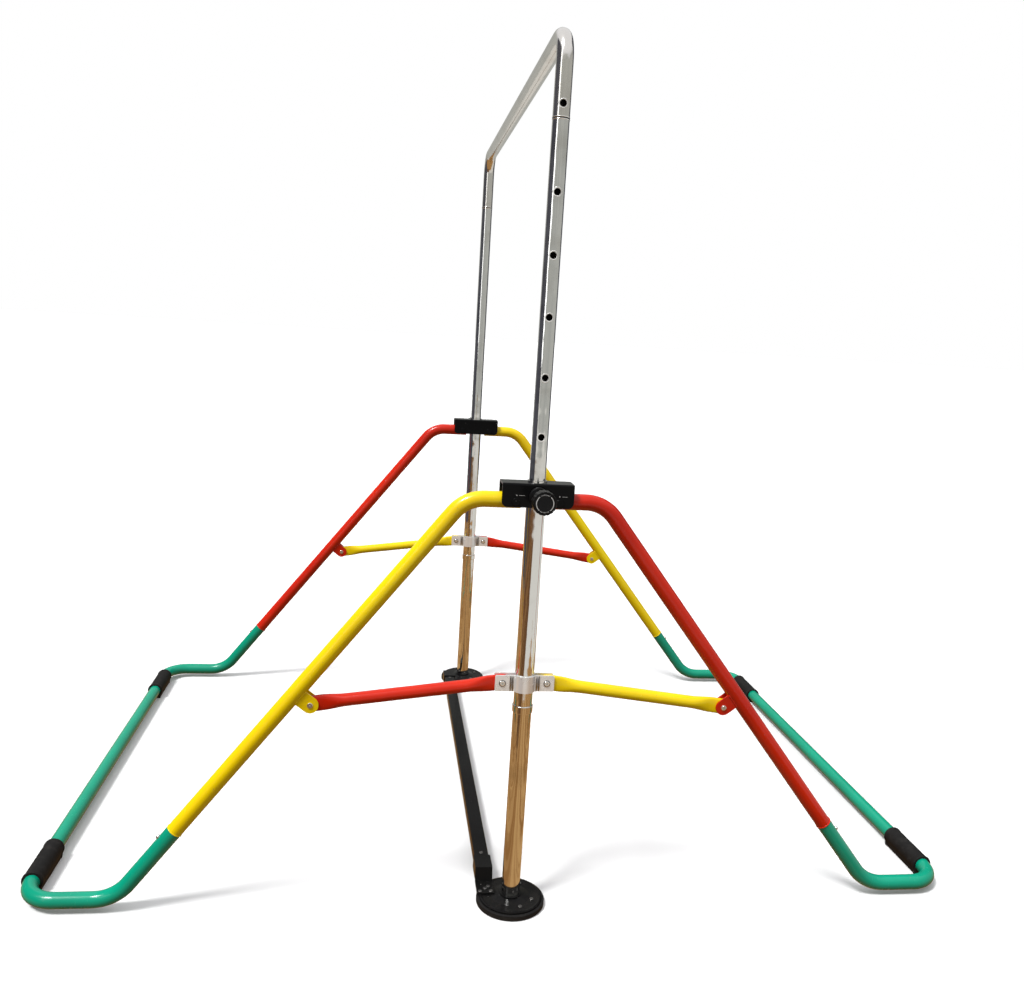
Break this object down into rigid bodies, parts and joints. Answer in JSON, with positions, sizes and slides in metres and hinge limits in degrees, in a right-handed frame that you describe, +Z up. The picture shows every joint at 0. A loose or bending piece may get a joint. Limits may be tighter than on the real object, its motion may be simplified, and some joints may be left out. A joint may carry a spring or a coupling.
{
  "type": "folding horizontal bar",
  "caption": "Children's folding horizontal bar: a bent grip bar on two telescoping posts with lock knobs, two spreading leg frames with floor loops, brace links and round base discs.",
  "frame": {"origin": "on the floor, midway between the two posts", "axes": "+Z up, Y along the grip bar, X across it, along the spread of the legs"},
  "size_m": [1.5684, 1.1832, 1.3697],
  "materials": {
    "chrome_tube": "satin",
    "zinc_plate": "satin",
    "steel_fixings": "polished",
    "black_enamel": "gloss",
    "black_plastic": "satin",
    "knob_insert": "satin",
    "nylon": "matte",
    "black_rubber": "matte",
    "yellow_enamel": "gloss",
    "red_enamel": "gloss",
    "green_enamel": "gloss"
  },
  "bodies": {
    "base": {"lower_post_near": "chrome_tube", "lower_post_far": "chrome_tube", "bracket_near": "black_enamel", "bracket_far": "black_enamel", "base_disc_near": "black_enamel", "base_disc_far": "black_enamel", "disc_rims": "black_rubber", "seat_rings": "chrome_tube", "floor_crossbar": "black_enamel", "crossbar_saddle_near": "black_enamel", "crossbar_saddle_far": "black_enamel", "base_screws": "black_enamel", "post_bushes": "nylon", "pivot_bolts": "black_enamel", "pivot_spacers": "nylon", "knob_bosses": "chrome_tube", "boss_flanges": "black_plastic"},
    "grip_frame": {"top_bar": "chrome_tube", "upright_near": "chrome_tube", "upright_far": "chrome_tube", "bar_joiners": "zinc_plate", "upright_guides": "black_plastic"},
    "near_collar": {"collar_inner_near": "zinc_plate", "collar_outer_near": "zinc_plate", "collar_rivets_near": "steel_fixings"},
    "near_lock_pin": {"lock_pin_near": "steel_fixings"},
    "near_knob": {"knob_near": "black_plastic", "knob_cap_near": "knob_insert"},
    "near_left_link": {"brace_link_near_left": "red_enamel"},
    "near_left_button": {"snap_button_near_left": "steel_fixings"},
    "near_right_link": {"brace_link_near_right": "yellow_enamel"},
    "near_right_button": {"snap_button_near_right": "steel_fixings"},
    "far_collar": {"collar_inner_far": "zinc_plate", "collar_outer_far": "zinc_plate", "collar_rivets_far": "steel_fixings"},
    "far_lock_pin": {"lock_pin_far": "steel_fixings"},
    "far_knob": {"knob_far": "black_plastic", "knob_cap_far": "knob_insert"},
    "far_left_link": {"brace_link_far_left": "yellow_enamel"},
    "far_left_button": {"snap_button_far_left": "steel_fixings"},
    "far_right_link": {"brace_link_far_right": "red_enamel"},
    "far_right_button": {"snap_button_far_right": "steel_fixings"},
    "left_frame": {"leg_near_left": "yellow_enamel", "leg_far_left": "red_enamel", "floor_loop_left": "green_enamel", "leg_tabs_near_left": "yellow_enamel", "leg_tabs_far_left": "red_enamel", "tab_rivets_left": "steel_fixings", "foot_sleeve_near_left": "black_rubber", "foot_sleeve_far_left": "black_rubber", "button_springs_left": "steel_fixings"},
    "right_frame": {"leg_near_right": "red_enamel", "leg_far_right": "yellow_enamel", "floor_loop_right": "green_enamel", "leg_tabs_near_right": "red_enamel", "leg_tabs_far_right": "yellow_enamel", "tab_rivets_right": "steel_fixings", "foot_sleeve_near_right": "black_rubber", "foot_sleeve_far_right": "black_rubber", "button_springs_right": "steel_fixings"}
  },
  "joints": [
    {"name": "bar_height", "type": "slide", "parent": "base", "child": "grip_frame", "axis": [0, 0, 1], "range_m": [-0.445, 0]},
    {"name": "near_collar_slide", "type": "slide", "parent": "base", "child": "near_collar", "axis": [0, 0, 1], "range_m": [0, 0.14624]},
    {"name": "near_left_link_pivot", "type": "hinge", "parent": "near_collar", "child": "near_left_link", "pos_m": [-0.0357, -0.509, 0.385], "axis": [0, -1, 0], "range_deg": [0, 77.34]},
    {"name": "near_right_link_pivot", "type": "hinge", "parent": "near_collar", "child": "near_right_link", "pos_m": [0.0357, -0.509, 0.385], "axis": [0, 1, 0], "range_deg": [0, 77.34]},
    {"name": "far_collar_slide", "type": "slide", "parent": "base", "child": "far_collar", "axis": [0, 0, 1], "range_m": [0, 0.14624]},
    {"name": "far_left_link_pivot", "type": "hinge", "parent": "far_collar", "child": "far_left_link", "pos_m": [-0.0357, 0.509, 0.385], "axis": [0, -1, 0], "range_deg": [0, 77.34]},
    {"name": "far_right_link_pivot", "type": "hinge", "parent": "far_collar", "child": "far_right_link", "pos_m": [0.0357, 0.509, 0.385], "axis": [0, 1, 0], "range_deg": [0, 77.34]},
    {"name": "left_frame_pivot", "type": "hinge", "parent": "near_left_link", "child": "left_frame", "pos_m": [-0.33349, -0.509, 0.34614], "axis": [0, -1, 0], "range_deg": [-39.09, 0]},
    {"name": "right_frame_pivot", "type": "hinge", "parent": "near_right_link", "child": "right_frame", "pos_m": [0.33349, -0.509, 0.34614], "axis": [0, 1, 0], "range_deg": [-39.09, 0]},
    {"name": "near_pin_pull", "type": "slide", "parent": "base", "child": "near_lock_pin", "axis": [0, -1, 0], "range_m": [-0.008, 0.004]},
    {"name": "near_knob_turn", "type": "hinge", "parent": "near_lock_pin", "child": "near_knob", "pos_m": [0, -0.509, 0.689], "axis": [0, -1, 0], "range_deg": [0, 360]},
    {"name": "near_left_button_press", "type": "slide", "parent": "left_frame", "child": "near_left_button", "axis": [0.7853, 0, -0.6191], "range_m": [0, 0.003], "stiffness_N_per_m": 600, "springref_m": -0.001},
    {"name": "near_right_button_press", "type": "slide", "parent": "right_frame", "child": "near_right_button", "axis": [-0.7853, 0, -0.6191], "range_m": [0, 0.003], "stiffness_N_per_m": 600, "springref_m": -0.001},
    {"name": "far_pin_pull", "type": "slide", "parent": "base", "child": "far_lock_pin", "axis": [0, 1, 0], "range_m": [-0.008, 0.004]},
    {"name": "far_knob_turn", "type": "hinge", "parent": "far_lock_pin", "child": "far_knob", "pos_m": [0, 0.509, 0.689], "axis": [0, 1, 0], "range_deg": [0, 360]},
    {"name": "far_left_button_press", "type": "slide", "parent": "left_frame", "child": "far_left_button", "axis": [0.7853, 0, -0.6191], "range_m": [0, 0.003], "stiffness_N_per_m": 600, "springref_m": -0.001},
    {"name": "far_right_button_press", "type": "slide", "parent": "right_frame", "child": "far_right_button", "axis": [-0.7853, 0, -0.6191], "range_m": [0, 0.003], "stiffness_N_per_m": 600, "springref_m": -0.001}
  ],
  "couplings": [
    {"joint": "near_left_link_pivot", "follows": "near_collar_slide", "rad_per_m": 9.2285},
    {"joint": "near_right_link_pivot", "follows": "near_collar_slide", "rad_per_m": 9.2285},
    {"joint": "far_collar_slide", "follows": "near_collar_slide", "ratio": 1},
    {"joint": "far_left_link_pivot", "follows": "near_collar_slide", "rad_per_m": 9.2285},
    {"joint": "far_right_link_pivot", "follows": "near_collar_slide", "rad_per_m": 9.2285},
    {"joint": "left_frame_pivot", "follows": "near_collar_slide", "rad_per_m": -4.6635},
    {"joint": "right_frame_pivot", "follows": "near_collar_slide", "rad_per_m": -4.6635}
  ]
}
